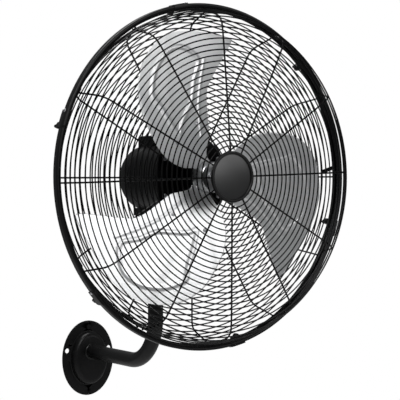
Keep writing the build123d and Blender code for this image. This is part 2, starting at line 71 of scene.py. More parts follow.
class Signal:
    """One value in a material's nodes. Ordinary sums on it add Math nodes."""

    def __init__(self, tree, socket=None):
        self.tree = tree
        self.socket = socket

    def node(self, kind, values=(), out=0, stops=None, **settings):
        """Adds a node: its settings first, then the values or links of its sockets."""
        made = self.tree.nodes.new(kind)
        for name, value in settings.items():
            setattr(made, name, value)
        if stops:
            ramp = made.color_ramp.elements
            while len(ramp) < len(stops):
                ramp.new(0.5)
            for element, (place, shade) in zip(ramp, stops):
                element.position = place
                element.color = (shade, shade, shade, 1.0)
        for name, value in dict(values).items():
            if isinstance(value, Signal):
                self.tree.links.new(value.socket, made.inputs[name])
            else:
                made.inputs[name].default_value = value
        return Signal(self.tree, made.outputs[out])

    def maths(self, operation, first, second):
        return self.node("ShaderNodeMath", {0: first, 1: second}, operation=operation)

    def __add__(self, other):
        return self.maths("ADD", self, other)

    def __radd__(self, other):
        return self.maths("ADD", other, self)

    def __sub__(self, other):
        return self.maths("SUBTRACT", self, other)

    def __rsub__(self, other):
        return self.maths("SUBTRACT", other, self)

    def __mul__(self, other):
        return self.maths("MULTIPLY", self, other)

    def __rmul__(self, other):
        return self.maths("MULTIPLY", other, self)


world = bpy.data.worlds.new("studio")
scene.world = world
world.use_nodes = True
world.node_tree.nodes.clear()
air = Signal(world.node_tree)
ray = air.node("ShaderNodeLightPath")
soft_light = air.node("ShaderNodeBackground", {"Color": (0.19, 0.193, 0.196, 1.0), "Strength": 1.0})
backdrop = air.node("ShaderNodeBackground", {"Color": (1.0, 1.0, 1.0, 1.0), "Strength": 1.0})
mixed = air.node("ShaderNodeMixShader", {0: ray, 1: soft_light, 2: backdrop})
world_out = world.node_tree.nodes.new("ShaderNodeOutputWorld")
world.node_tree.links.new(mixed.socket, world_out.inputs["Surface"])


def finish(name, dress, **constants):
    """A material. dress links what varies over the surface; constants go on the shader."""
    made = bpy.data.materials.new(name)
    made.use_nodes = True
    tree = made.node_tree
    shader = tree.nodes["Principled BSDF"]
    for label, value in constants.items():
        shader.inputs[label.replace("_", " ")].default_value = value
    start = Signal(tree)
    place = start.node("ShaderNodeTexCoord", out="Object")
    for label, signal in dress(start, place).items():
        tree.links.new(signal.socket, shader.inputs[label])
    return made


def blended(start, factor, dark, light):
    """A colour between two tints."""
    return start.node(
        "ShaderNodeMix",
        {0: factor, 6: (*dark, 1.0), 7: (*light, 1.0)},
        out=2,
        data_type="RGBA",
    )


def powder_coat(name, tint, roughness, peel=0.10, lift=1.35, shine=0.3):
    """Baked powder coat: fine orange peel, faint mottling and small gloss changes."""
    light = tuple(min(1.0, lift * channel + 0.0005) for channel in tint)

    def dress(start, place):
        mottle = start.node("ShaderNodeTexNoise", {"Vector": place, "Scale": 38.0, "Detail": 3.0})
        grain = start.node("ShaderNodeTexNoise", {"Vector": place, "Scale": 900.0, "Detail": 2.0})
        return {
            "Base Color": blended(start, mottle, tint, light),
            "Roughness": mottle * 0.10 + (roughness - 0.05),
            "Normal": start.node(
                "ShaderNodeBump", {"Height": grain, "Strength": peel, "Distance": 0.0004}
            ),
        }

    return finish(name, dress, Specular_IOR_Level=shine)


def bare_metal(name, tint, roughness, scratch=(40.0, 900.0, 40.0)):
    """Plain metal with fine drawn lines in it and a little staining."""
    dark = tuple(0.82 * channel for channel in tint)

    def dress(start, place):
        drawn = start.node("ShaderNodeMapping", {"Vector": place, "Scale": scratch})
        lines = start.node("ShaderNodeTexNoise", {"Vector": drawn, "Scale": 1.0, "Detail": 2.0})
        stain = start.node("ShaderNodeTexNoise", {"Vector": place, "Scale": 24.0, "Detail": 4.0})
        return {
            "Base Color": blended(start, stain, dark, tint),
            "Roughness": lines * 0.12 + stain * 0.10 + (roughness - 0.11),
            "Normal": start.node(
                "ShaderNodeBump", {"Height": lines, "Strength": 0.12, "Distance": 0.0002}
            ),
        }

    return finish(name, dress, Metallic=1.0)


def moulded(name, tint, roughness):
    """Moulded plastic with a fine spark-eroded texture."""
    light = tuple(1.25 * channel + 0.003 for channel in tint)

    def dress(start, place):
        cloud = start.node("ShaderNodeTexNoise", {"Vector": place, "Scale": 60.0, "Detail": 2.0})
        grain = start.node("ShaderNodeTexVoronoi", {"Vector": place, "Scale": 1400.0})
        return {
            "Base Color": blended(start, cloud, tint, light),
            "Roughness": cloud * 0.12 + (roughness - 0.06),
            "Normal": start.node(
                "ShaderNodeBump", {"Height": grain, "Strength": 0.10, "Distance": 0.0003}
            ),
        }

    return finish(name, dress)


floor_paint = powder_coat("floor_paint", (0.80, 0.80, 0.80), 0.7, peel=0.05, lift=1.05)
floor_half_width = 3.0
floor_centre = (0.0, -0.4, -1.1)
floor_bm = bmesh.new()
bmesh.ops.create_grid(floor_bm, x_segments=1, y_segments=1, size=floor_half_width,
                      matrix=Matrix.Translation(floor_centre))
floor_mesh = bpy.data.meshes.new("floor")
floor_bm.to_mesh(floor_mesh)
floor_bm.free()
floor_mesh.materials.append(floor_paint)
floor = bpy.data.objects.new("floor", floor_mesh)
scene.collection.objects.link(floor)

# Wall plate: an oval steel pressing with a raised boss, powder coated satin black and held
# to the wall by a screw at the top and one at each side. Its helpers for stacked ovals,
# turned shapes and cuts serve later pieces too.
mm = 0.001
crease = radians(32)
coat_tint = (0.003, 0.003, 0.0032)
black_satin = powder_coat("black_satin", coat_tint, 0.36, peel=0.14, shine=0.22)
wall_place = Matrix(((1, 0, 0, 0), (0, 0, -1, 0), (0, 1, 0, 0), (0, 0, 0, 1)))


def stack(place, sides, *rings):
    """A closed shape through ovals of (half width, half height, level)."""
    part = bmesh.new()
    loops = []
    for half_width, half_height, level in rings:
        size = Matrix.Translation((0, 0, level)) @ Matrix.Diagonal((half_width, half_height, 1, 1))
        made = bmesh.ops.create_circle(part, segments=sides, radius=1.0, matrix=size)
        loops.append(list({edge for vert in made["verts"] for edge in vert.link_edges}))
    for lower, upper in zip(loops, loops[1:]):
        bmesh.ops.bridge_loops(part, edges=lower + upper)
    bmesh.ops.holes_fill(part, edges=loops[0] + loops[-1], sides=0)
    bmesh.ops.transform(part, matrix=place, verts=part.verts)
    return part


def turn(place, profile, steps=96, soften=0.0, closed=False):
    """Turns (level, radius) points round the local Z axis; corners off it may be softened."""
    part = bmesh.new()
    verts = [part.verts.new((radius, 0, level)) for level, radius in profile]
    for pair in zip(verts, verts[1:] + verts[:1] if closed else verts[1:]):
        part.edges.new(pair)
    if soften:
        corners = [vert for vert in verts if vert.co.x > 1e-6 and len(vert.link_edges) == 2]
        bmesh.ops.bevel(part, geom=corners, offset=soften, segments=3, profile=0.5,
                        affect="VERTICES", material=-1)
    bmesh.ops.spin(part, geom=part.verts[:] + part.edges[:], cent=(0, 0, 0), axis=(0, 0, 1),
                   angle=2 * pi, steps=steps, use_merge=True)
    bmesh.ops.remove_doubles(part, verts=part.verts, dist=1e-6)
    bmesh.ops.transform(part, matrix=place, verts=part.verts)
    return part


def joined(parts):
    whole = bmesh.new()
    for part in parts:
        made = bpy.data.meshes.new("made")
        part.to_mesh(made)
        part.free()
        whole.from_mesh(made)
        bpy.data.meshes.remove(made)
    return whole


def cut(part, *tools):
    """Takes the tools away from a part."""
    held = []
    for shape in (part, joined(tools)):
        bmesh.ops.recalc_face_normals(shape, faces=shape.faces)
        made = bpy.data.meshes.new("cut")
        shape.to_mesh(made)
        shape.free()
        held.append(bpy.data.objects.new("cut", made))
        scene.collection.objects.link(held[-1])
    work = held[0].modifiers.new("cut", "BOOLEAN")
    work.operation = "DIFFERENCE"
    work.solver = "EXACT"
    work.object = held[1]
    bpy.context.view_layer.update()
    left = bmesh.new()
    left.from_mesh(held[0].evaluated_get(bpy.context.evaluated_depsgraph_get()).data)
    for obj in held:
        mesh = obj.data
        bpy.data.objects.remove(obj)
        bpy.data.meshes.remove(mesh)
    return left


def piece(name, parts, body, material, stands_for=()):
    """Joins the parts as one piece, shades it and lets it ride on a body."""
    whole = joined(parts)
    bmesh.ops.recalc_face_normals(whole, faces=whole.faces)
    for face in whole.faces:
        face.smooth = True
    for edge in whole.edges:
        edge.smooth = edge.calc_face_angle(0.0) < crease
    mesh = bpy.data.meshes.new(name)
    whole.to_mesh(mesh)
    whole.free()
    mesh.materials.append(material)
    obj = bpy.data.objects.new(name, mesh)
    scene.collection.objects.link(obj)
    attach(obj, body)
    if stands_for:
        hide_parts(*stands_for)
    return obj


tube_radius = 16.0 * mm
tube_height = 16.0 * mm
plate_face_level = 21.0 * mm
hole_radius = 5.5 * mm
cutter_start = -1 * mm
cutter_length = 8 * mm
socket_level = 3 * mm
socket_length = 30 * mm
wall_holes = ((0.0, 70.0 * mm), (-53.5 * mm, 19.0 * mm), (53.5 * mm, 19.0 * mm))
plate_shell = stack(
    wall_place, 96,
    (64.9 * mm, 83.4 * mm, 0.0),
    (65.5 * mm, 84.0 * mm, 0.6 * mm),
    (65.5 * mm, 84.0 * mm, 2.4 * mm),
    (64.9 * mm, 83.4 * mm, 3.0 * mm),
    (46.5 * mm, 61.5 * mm, 3.0 * mm),
    (44.6 * mm, 59.6 * mm, 3.7 * mm),
    (43.9 * mm, 58.9 * mm, 5.5 * mm),
    (43.4 * mm, 58.4 * mm, 13.5 * mm),
    (41.4 * mm, 56.4 * mm, 17.4 * mm),
    (37.6 * mm, 52.6 * mm, 20.2 * mm),
    (33.0 * mm, 48.0 * mm, 21.0 * mm),
)
plate_tools = [
    turn(wall_place @ Matrix.Translation((right, up, cutter_start)),
         ((0, 0), (0, hole_radius), (cutter_length, hole_radius), (cutter_length, 0)), steps=40)
    for right, up in wall_holes
]
plate_tools.append(
    turn(wall_place @ Matrix.Translation((0, tube_height, socket_level)),
         ((0, 0), (0, tube_radius), (socket_length, tube_radius), (socket_length, 0)), steps=64))
piece("wall_flange", [cut(plate_shell, *plate_tools)], "wall_arm", black_satin,
      ["wall_plate"])

# Arm: one steel tube of 32 mm, welded into the boss, bent up through a quarter turn and
# powder coated with the plate. A bead of weld closes the joint.
standoff = 470.0 * mm
axis_height = 404.0 * mm
pivot_behind_rim = 188.0 * mm
pivot_below_axis = 100.0 * mm
pivot = Vector((0.0, pivot_behind_rim - standoff, axis_height - pivot_below_axis))
bend_radius = 95.0 * mm
arm_top = 275.9 * mm
bend_steps = 16
arm_path = [(0, -4 * mm, tube_height), (0, -60 * mm, tube_height), (0, -120 * mm, tube_height)]
for k in range(bend_steps + 1):
    bend = radians(90 * k / bend_steps)
    arm_path.append((0, pivot.y + bend_radius - bend_radius * sin(bend),
                     tube_height + bend_radius - bend_radius * cos(bend)))
arm_path += [(0, pivot.y, 200 * mm), (0, pivot.y, arm_top)]
black_tube = powder_coat("black_tube", coat_tint, 0.30, peel=0.12, shine=0.25)


def rod(points, radius, sides=12):
    """A round bar along a path, closed at both ends."""
    part = bmesh.new()
    path = [Vector(point) for point in points]
    heading = (path[1] - path[0]).normalized()
    facing = heading.to_track_quat("Z", "Y")
    loops = []
    for k, point in enumerate(path):
        ahead = (path[min(k + 1, len(path) - 1)] - path[max(k - 1, 0)]).normalized()
        facing = heading.rotation_difference(ahead) @ facing
        heading = ahead
        place = Matrix.Translation(point) @ facing.to_matrix().to_4x4()
        made = bmesh.ops.create_circle(part, segments=sides, radius=radius, matrix=place)
        loops.append(list({edge for vert in made["verts"] for edge in vert.link_edges}))
    for lower, upper in zip(loops, loops[1:]):
        bmesh.ops.bridge_loops(part, edges=lower + upper)
    bmesh.ops.holes_fill(part, edges=loops[0] + loops[-1], sides=0)
    return part


weld_level = plate_face_level + 0.2 * mm
weld = turn(wall_place @ Matrix.Translation((0, tube_height, 0)),
            ((weld_level - 1 * mm, tube_radius), (weld_level, tube_radius + 2.4 * mm),
             (weld_level + 1.6 * mm, tube_radius + 1.4 * mm),
             (weld_level + 2.6 * mm, tube_radius - 0.5 * mm)), steps=64, closed=True)
piece("bent_arm", [rod(arm_path, tube_radius, 48), weld], "wall_arm", black_tube,
      ["arm_tube"])

# Tilt fork: a pressed socket over the end of the tube with two rounded cheeks, welded up
# and coated black. A zinc plated bolt goes through the cheeks and the motor's lug.
cheek_inner = 6.3 * mm
cheek_outer = 12.3 * mm
pivot_round = 18.0 * mm
fork_foot = 234 * mm
fork_height = 45 * mm
fork_radius = 20 * mm
across_place = Matrix(((0, 0, 1, pivot.x), (1, 0, 0, pivot.y), (0, 1, 0, pivot.z), (0, 0, 0, 1)))


def slab(place, outline, thick, soften, segments=2):
    """A flat plate with an outline, standing up from the local XY plane, edges softened."""
    part = bmesh.new()
    face = part.faces.new([part.verts.new((*point, 0)) for point in outline])
    raised = bmesh.ops.extrude_face_region(part, geom=[face])
    top = [vert for vert in raised["geom"] if isinstance(vert, bmesh.types.BMVert)]
    bmesh.ops.translate(part, verts=top, vec=(0, 0, thick))
    if soften:
        rim = [edge for edge in part.edges if edge.calc_face_angle(0.0) > radians(40)]
        bmesh.ops.bevel(part, geom=rim, offset=soften, segments=segments, profile=0.5,
                        affect="EDGES", material=-1)
    bmesh.ops.recalc_face_normals(part, faces=part.faces)
    bmesh.ops.transform(part, matrix=place, verts=part.verts)
    return part


def arc(centre, radius, first, last, steps):
    angles = [radians(first + (last - first) * k / steps) for k in range(steps + 1)]
    return [(centre[0] + radius * cos(t), centre[1] + radius * sin(t)) for t in angles]


tongue = arc((0, 0), pivot_round, 0, 180, 24) + [(-pivot_round, -25 * mm), (pivot_round, -25 * mm)]
cheeks = [
    slab(across_place @ Matrix.Translation((0, 0, start)), tongue, cheek_outer - cheek_inner,
         0.8 * mm)
    for start in (cheek_inner, -cheek_outer)
]
socket = turn(Matrix.Translation((0, pivot.y, fork_foot)),
              ((0, 16.2 * mm), (0, fork_radius), (fork_height, fork_radius), (fork_height, 0)),
              steps=64, soften=1.0 * mm)
piece("fork_socket", [socket, *cheeks], "wall_arm", black_tube, ["tilt_fork"])
zinc = bare_metal("zinc", (0.58, 0.58, 0.60), 0.34)


def hexagon(size):
    """Corners of a hexagon by its size across flats."""
    return arc((0, 0), size / sqrt(3), 0, 300, 5)


def hex_head(place, size, thick):
    return slab(place, hexagon(size), thick, 0.7 * mm)


bolt_radius = 5 * mm
bolt_end = 24 * mm
washer_radius = 11 * mm
bolt_parts = [
    hex_head(across_place @ Matrix.Translation((0, 0, -cheek_outer - 6.4 * mm)), 17 * mm,
             6.0 * mm),
    turn(across_place, ((-cheek_outer - 0.4 * mm, 0), (-cheek_outer - 0.4 * mm, washer_radius),
                        (-cheek_outer, washer_radius), (-cheek_outer, bolt_radius),
                        (bolt_end, bolt_radius), (bolt_end, 0)), steps=40),
]
piece("pivot_bolt", bolt_parts, "wall_arm", zinc, ["tilt_bolt"])

# Hand knob: moulded black plastic with eight finger hollows round its grip, moulded over a
# brass nut that clamps the fork on the lug.
black_plastic = moulded("black_plastic", (0.010, 0.010, 0.0105), 0.46)
knob_face = 12.6 * mm
knob_radius = 18.9 * mm
finger_hollows = 8
knob_rim_points = 96
knob_rim = []
for k in range(knob_rim_points):
    around = 2 * pi * k / knob_rim_points
    reach = knob_radius * (0.93 + 0.07 * cos(finger_hollows * around))
    knob_rim.append((reach * cos(around), reach * sin(around)))
knob_grip = slab(across_place @ Matrix.Translation((0, 0, knob_face + 6 * mm)), knob_rim,
                 14 * mm, 0.0)
edge_rim = [edge for edge in knob_grip.edges if edge.calc_face_angle(0.0) > radians(60)]
bmesh.ops.bevel(knob_grip, geom=edge_rim, offset=2.0 * mm, segments=3, profile=0.5,
                affect="EDGES", material=-1)
knob_neck = turn(across_place, ((knob_face, 0), (knob_face, 10 * mm),
                                (knob_face + 6.5 * mm, 10 * mm), (knob_face + 6.5 * mm, 0)),
                 steps=48, soften=0.5 * mm)
piece("hand_knob", [knob_grip, knob_neck], "tilt_handle", black_plastic,
      ["tilt_knob"])

# Motor: a cast front bell, a drawn steel barrel, a rear bell and a vented cover, all
# enamelled black and pulled together by long screws. It is turned about the fan's axis.
fan_place = Matrix(((1, 0, 0, 0), (0, 0, -1, -standoff), (0, 1, 0, axis_height), (0, 0, 0, 1)))
motor_black = powder_coat("motor_black", (0.001, 0.001, 0.0011), 0.30, peel=0.16, shine=0.10)


def around(angle, out=0, side=0, forward=0):
    """A place turned by degrees about the fan's axis, then moved out, aside and forward."""
    return (fan_place @ Matrix.Rotation(radians(angle), 4, "Z")
            @ Matrix.Translation((out, side, forward)))


motor_radius = 67.0 * mm
waist_radius = motor_radius - 0.8 * mm
flange_radius = 82 * mm
flange_front = -60 * mm
barrel_front = -66 * mm
barrel_back = -196 * mm
rear_bell_back = -200 * mm
cover_back = -229 * mm
bell = turn(fan_place, (
    (barrel_front, 0), (barrel_front, motor_radius), (-63.2 * mm, motor_radius),
    (-63 * mm, flange_radius), (flange_front, flange_radius), (flange_front, 25.8 * mm),
    (-50 * mm, 25.0 * mm), (-50 * mm, 8.0 * mm), (-56 * mm, 8.0 * mm), (-56 * mm, 0)),
    steps=96, soften=0.8 * mm)
piece("front_bell", [bell], "head", motor_black, ["motor_bell"])
barrel = turn(fan_place, (
    (barrel_back, 61 * mm), (barrel_back, motor_radius), (-190 * mm, motor_radius),
    (-189 * mm, waist_radius), (-73 * mm, waist_radius), (-72 * mm, motor_radius),
    (barrel_front, motor_radius), (barrel_front, 61 * mm)),
    steps=96, soften=0.4 * mm, closed=True)
piece("barrel_shell", [barrel], "head", motor_black, ["motor_barrel"])
rear_bell = turn(fan_place, (
    (-209 * mm, 8 * mm), (-209 * mm, 21 * mm), (rear_bell_back, 21 * mm),
    (rear_bell_back, motor_radius), (barrel_back, motor_radius), (barrel_back, 8 * mm)),
    steps=96, soften=0.6 * mm, closed=True)
piece("rear_bell", [rear_bell], "head", motor_black, ["motor_shield"])
cup = turn(fan_place, (
    (rear_bell_back, 64.5 * mm), (rear_bell_back, motor_radius), (-220 * mm, motor_radius),
    (-223.5 * mm, 65.2 * mm), (-226.8 * mm, 61.8 * mm), (cover_back, 57.5 * mm),
    (cover_back, 0), (-226.5 * mm, 0), (-226.5 * mm, 56.5 * mm), (-221 * mm, 64.0 * mm)),
    steps=96, closed=True)
vent_circle = 46 * mm
vent_step = 8 * mm
vent_half_length = 6 * mm
vent_radius = 2 * mm
vents = []
for angle in (30, 90, 150, 210, 330):
    # One slot at the top, below the capacitor's box, and three at each other place.
    for row in (0,) if angle == 90 else (-1, 0, 1):
        lie = around(angle, vent_circle, vent_step * row, cover_back - 3 * mm)
        slot = (arc((vent_half_length, 0), vent_radius, -90, 90, 8)
                + arc((-vent_half_length, 0), vent_radius, 90, 270, 8))
        vents.append(slab(lie, slot, 6 * mm, 0.0))
piece("vented_cover", [cut(cup, *vents)], "head", motor_black, ["motor_cover"])

# Saddle: a steel block under the motor's barrel with a rounded lug below it, which the bolt
# holds between the cheeks of the fork. It is welded up and enamelled with the motor.
saddle_foot = 325 * mm
saddle_top = 341 * mm
saddle_centre = -standoff + 208 * mm
foot_block = slab(
    Matrix.Translation((0, saddle_centre, saddle_foot)),
    ((-18 * mm, -38 * mm), (18 * mm, -38 * mm), (18 * mm, 38 * mm), (-18 * mm, 38 * mm)),
    saddle_top - saddle_foot, 1.5 * mm)
lug = slab(across_place @ Matrix.Translation((0, 0, -6 * mm)),
           arc((0, 0), pivot_round, 180, 360, 24) + [(pivot_round, 22 * mm),
                                                     (-pivot_round, 22 * mm)],
           12 * mm, 0.6 * mm)
piece("saddle", [foot_block, lug], "head", motor_black, ["motor_foot"])

# Capacitor box: a pressed steel cover with rounded edges on top of the motor's rear end,
# enamelled black, with the capacitor inside it.
box = slab(
    fan_place @ Matrix.Translation((0, 0, -228 * mm)),
    ((-18 * mm, 58 * mm), (18 * mm, 58 * mm), (18 * mm, 87 * mm), (-18 * mm, 87 * mm)),
    50 * mm, 3.0 * mm, 3)
piece("capacitor_box", [box], "head", motor_black, ["capacitor_cover"])

# Motor screws, zinc plated: four with domed heads in the vented cover, and six with hexagon
# heads that hold the rear guard's plate to the flange of the front bell.
cover_screw_circle = 56 * mm
guard_screw_circle = 74 * mm
guard_disc_front = -57 * mm
screw_parts = []
for angle in (45, 135, 225, 315):
    spot = around(angle, cover_screw_circle, 0, cover_back + 0.1 * mm)
    screw_parts.append(turn(spot, ((0, 0), (0, 3.6 * mm), (-1.0 * mm, 3.2 * mm),
                                   (-1.9 * mm, 2.0 * mm), (-2.1 * mm, 0)), steps=20))
for angle in range(30, 390, 60):
    spot = around(angle, guard_screw_circle, 0, guard_disc_front)
    screw_parts.append(hex_head(spot, 9 * mm, 4 * mm))
piece("motor_screws", screw_parts, "head", zinc)

# Cable gland and speed control on the back of the cover: a nut and dome of black plastic,
# and a round knob with a finger bar for the switch inside.
gland_nut = 5 * mm
gland_offset = Matrix.Translation((46 * mm, 0, cover_back))
gland = [
    slab(fan_place @ gland_offset @ Matrix.Translation((0, 0, -gland_nut)), hexagon(16 * mm),
         gland_nut, 0.6 * mm),
    turn(fan_place @ gland_offset, (
        (-gland_nut, 0), (-gland_nut, 6.4 * mm), (-11 * mm, 6.2 * mm), (-13.8 * mm, 4.6 * mm),
        (-13.8 * mm, 3.2 * mm), (-8 * mm, 3.2 * mm), (-8 * mm, 0)), steps=40, soften=0.3 * mm),
]
piece("inlet_gland", gland, "head", black_plastic, ["cable_gland"])
dial_place = fan_place @ Matrix.Translation((0, -34 * mm, cover_back - 0.4 * mm))
dial = [
    turn(dial_place, ((0, 0), (0, 15 * mm), (-9 * mm, 14 * mm), (-13 * mm, 12.6 * mm),
                      (-13 * mm, 0)), steps=64, soften=0.8 * mm),
    slab(dial_place @ Matrix.Translation((0, 0, -17 * mm)),
         ((-2.5 * mm, -12 * mm), (2.5 * mm, -12 * mm), (2.5 * mm, 12 * mm), (-2.5 * mm, 12 * mm)),
         6 * mm, 0.8 * mm),
]
piece("dial", dial, "speed_dial", black_plastic, ["speed_knob"])

# Guards: drawn steel wire, bent into spokes and rolled into rings, spot welded where they
# cross and coated gloss black. Each has twelve spokes and a thicker wire at its rim.
spoke_count = 12
spoke_radius = 1.7 * mm
ring_radius = 1.35 * mm
ring_pitch = 10.85 * mm
rim_wire_radius = 330.9 * mm
rim_wire_half = 2.3 * mm
rim_wire_station = 4.05 * mm
spoke_end_radius = rim_wire_radius - rim_wire_half - 0.3 * mm - spoke_radius
wire_black = powder_coat("wire_black", (0.0015, 0.0015, 0.0016), 0.24, peel=0.06, shine=0.15)


def rounded(points, reach, steps=6):
    """The path with each inner corner rounded off from reach before it to reach after it."""
    path = [Vector(points[0])]
    for before, corner, after in zip(points, points[1:], points[2:]):
        corner = Vector(corner)
        inward = Vector(before) - corner
        onward = Vector(after) - corner
        span = min(reach, 0.48 * inward.length, 0.48 * onward.length)
        start = corner + inward.normalized() * span
        end = corner + onward.normalized() * span
        for k in range(steps + 1):
            t = k / steps
            path.append((1 - t) ** 2 * start + 2 * t * (1 - t) * corner + t * t * end)
    path.append(Vector(points[-1]))
    return path


def walked(path, distance):
    """Point and direction at a distance along a path."""
    for start, end in zip(path, path[1:]):
        length = (end - start).length
        if distance <= length:
            return start + (end - start) * (distance / length), (end - start).normalized()
        distance -= length
    return path[-1], (path[-1] - path[-2]).normalized()


def hoop(forward, radius, wire, steps=144, sides=8):
    """One ring of round wire about the fan's axis."""
    part = bmesh.new()
    lie = Matrix.Translation((radius, 0, forward)) @ Matrix.Rotation(pi / 2, 4, "X")
    bmesh.ops.create_circle(part, segments=sides, radius=wire, matrix=lie)
    bmesh.ops.spin(part, geom=part.verts[:] + part.edges[:], cent=(0, 0, 0), axis=(0, 0, 1),
                   angle=2 * pi, steps=steps, use_merge=True)
    bmesh.ops.transform(part, matrix=fan_place, verts=part.verts)
    return part


def basket(profile, reach, first_ring, ring_count, side, turned_by, rim_station):
    """Spokes along (forward, radius) points, rings on their outer side and the rim wire."""
    path = rounded(profile, reach)
    parts = []
    for k in range(spoke_count):
        angle = radians(turned_by + 360 / spoke_count * k)
        points = [fan_place @ Vector((out * cos(angle), out * sin(angle), ahead))
                  for ahead, out in path]
        parts.append(rod(points, spoke_radius, 10))
    for k in range(ring_count):
        point, along = walked(path, first_ring + k * ring_pitch)
        lift = spoke_radius + ring_radius - 0.15 * mm
        parts.append(hoop(point.x + side * along.y * lift, point.y - side * along.x * lift,
                          ring_radius))
    parts.append(hoop(rim_station, rim_wire_radius, rim_wire_half, sides=10))
    return parts


front_profile = (
    (78 * mm, 30 * mm), (78 * mm, 50 * mm), (66 * mm, 262 * mm), (61.5 * mm, 308 * mm),
    (1.8 * mm, spoke_end_radius),
)
rear_profile = (
    (-55.2 * mm, 81 * mm), (-57.5 * mm, 302 * mm), (-9 * mm, 322.5 * mm),
    (-1.8 * mm, spoke_end_radius),
)
front_wires = basket(front_profile, reach=20 * mm, first_ring=29 * mm, ring_count=28, side=1,
                     turned_by=2.1, rim_station=rim_wire_station)
rear_wires = basket(rear_profile, reach=16 * mm, first_ring=8.45 * mm, ring_count=24, side=-1,
                    turned_by=0.4, rim_station=-rim_wire_station)
piece("front_cage", front_wires, "head", wire_black, ["front_guard"])
piece("rear_cage", rear_wires, "head", wire_black, ["rear_guard"])

# Rear guard plate: a steel disc with rounded edges, enamelled black, that the rear spokes are
# welded to. It is screwed to the flange of the motor's front bell.
guard_disc_radius = 86 * mm
guard_disc_bore = 34 * mm
disc = turn(fan_place, (
    (flange_front, guard_disc_bore), (flange_front, guard_disc_radius),
    (guard_disc_front, guard_disc_radius), (guard_disc_front, guard_disc_bore)),
    steps=128, soften=0.9 * mm, closed=True)
piece("guard_disc", [disc], "head", motor_black, ["rear_plate"])

# Rim band: a strip of steel rolled to a channel that closes over the edges of both guards.
# Six clips grip it, each held by a zinc rivet and a long screw. Band and clips are coated black.
band_black = powder_coat("band_black", coat_tint, 0.34, peel=0.12, shine=0.22)
band_centre = 337.9 * mm
band_half = 7.2 * mm
rear_lip_radius = 326.6 * mm
front_lip_radius = 331.0 * mm
strip = rounded((
    (-band_half, rear_lip_radius), (-band_half, band_centre), (band_half, band_centre),
    (band_half, front_lip_radius)), 2.2 * mm, 5)
band_bm = turn(fan_place, [(point.x, point.y) for point in strip], steps=192)
band = piece("rolled_rim", [band_bm], "head", band_black, ["rim_band"])
sheet = band.modifiers.new("sheet", "SOLIDIFY")
sheet.thickness = 1.5 * mm
sheet.offset = 0.0
sheet.use_even_offset = True

clip_first = 41.8
clip_count = 6
clip_half = 9.2 * mm
clip_outer = 340.1 * mm
clip_strap = 1.9 * mm
clip_flange = 1.5 * mm
clip_reach = 17 * mm
ear_radius = 6 * mm
ear_thick = 9.2 * mm
ear_turn = radians(2.1)
rivet_turn = radians(-2.5)
clip_parts = []
screw_parts = []
rivet_parts = []


def curved(place, inner, outer, reach, thick):
    """A block that follows the rim: between two radii, reach to each side, thick along it."""
    swing = reach / outer * 180 / pi
    outline = arc((0, 0), outer, -swing, swing, 8) + arc((0, 0), inner, swing, -swing, 8)
    return slab(place, outline, thick, 0.5 * mm)


for k in range(clip_count):
    lie = around(clip_first + 360 / clip_count * k)
    clip_parts.append(curved(lie @ Matrix.Translation((0, 0, -clip_half)),
                             clip_outer - clip_strap, clip_outer, clip_reach, 2 * clip_half))
    for start, depth in ((-clip_half, 12 * mm), (clip_half - clip_flange, 8 * mm)):
        clip_parts.append(curved(lie @ Matrix.Translation((0, 0, start)), clip_outer - depth,
                                 clip_outer - 0.3 * mm, clip_reach - 1 * mm, clip_flange))
    ear = lie @ Matrix.Rotation(ear_turn, 4, "Z") @ Matrix.Translation((clip_outer, 0, 0))
    ear_outline = arc((0, 0), ear_radius, 90, 270, 8)
    ear_outline += [(11 * mm, -ear_radius), (11 * mm, ear_radius)]
    clip_parts.append(slab(ear @ Matrix.Translation((-12.6 * mm, 0, -clip_half - 9 * mm)),
                           ear_outline, ear_thick, 0.8 * mm))
    stem = ear @ Matrix.Translation((-7 * mm, 0, -clip_half))
    screw_parts.append(turn(stem, (
        (-8 * mm, 0), (-8 * mm, 3.1 * mm), (-22 * mm, 3.1 * mm), (-23 * mm, 2.4 * mm),
        (-23 * mm, 0)), steps=20))
    screw_parts.append(hex_head(stem @ Matrix.Translation((0, 0, -14 * mm)), 10 * mm, 4.6 * mm))
    head = (lie @ Matrix.Rotation(rivet_turn, 4, "Z")
            @ Matrix.Translation((clip_outer - 0.2 * mm, 0, 0)) @ Matrix.Rotation(pi / 2, 4, "Y"))
    rivet_parts.append(turn(head, ((0, 0), (0, 3.4 * mm), (0.9 * mm, 3.0 * mm),
                                   (1.7 * mm, 1.8 * mm), (1.9 * mm, 0)), steps=20))
piece("band_clips", clip_parts, "head", band_black, ["rim_clips"])
piece("band_screws", screw_parts, "head", band_black, ["clip_screws"])
piece("clip_rivets", rivet_parts, "head", zinc)

# Latch on the right of the rim: a folded steel strap over the band's joint and the flat
# lever that pulls its two ends together, both powder coated with the band.
latch_place = around(3.9, forward=-clip_half)
latch_outer = 339.1 * mm
latch_reach = 7 * mm
lever_root = 334.5 * mm
lever_length = 30 * mm
lever_half_width = 4 * mm
lever_thick = 4.4 * mm
lever_place = (Matrix.Translation((lever_root, 0, 0)) @ Matrix.Rotation(radians(111), 4, "Y")
               @ Matrix.Rotation(radians(-17), 4, "Z")
               @ Matrix.Translation((0, 0, -lever_thick / 2)))
lever_outline = arc((lever_length, 0), lever_half_width, -90, 90, 8)
lever_outline = [(-3 * mm, -lever_half_width), *lever_outline, (-3 * mm, lever_half_width)]
latch_parts = [
    curved(latch_place, latch_outer - 1.6 * mm, latch_outer, latch_reach, 2 * clip_half),
    curved(latch_place, latch_outer - 12 * mm, latch_outer - 0.3 * mm, latch_reach, clip_flange),
    slab(latch_place @ lever_place, lever_outline, lever_thick, 0.8 * mm),
]
piece("band_latch", latch_parts, "head", band_black)

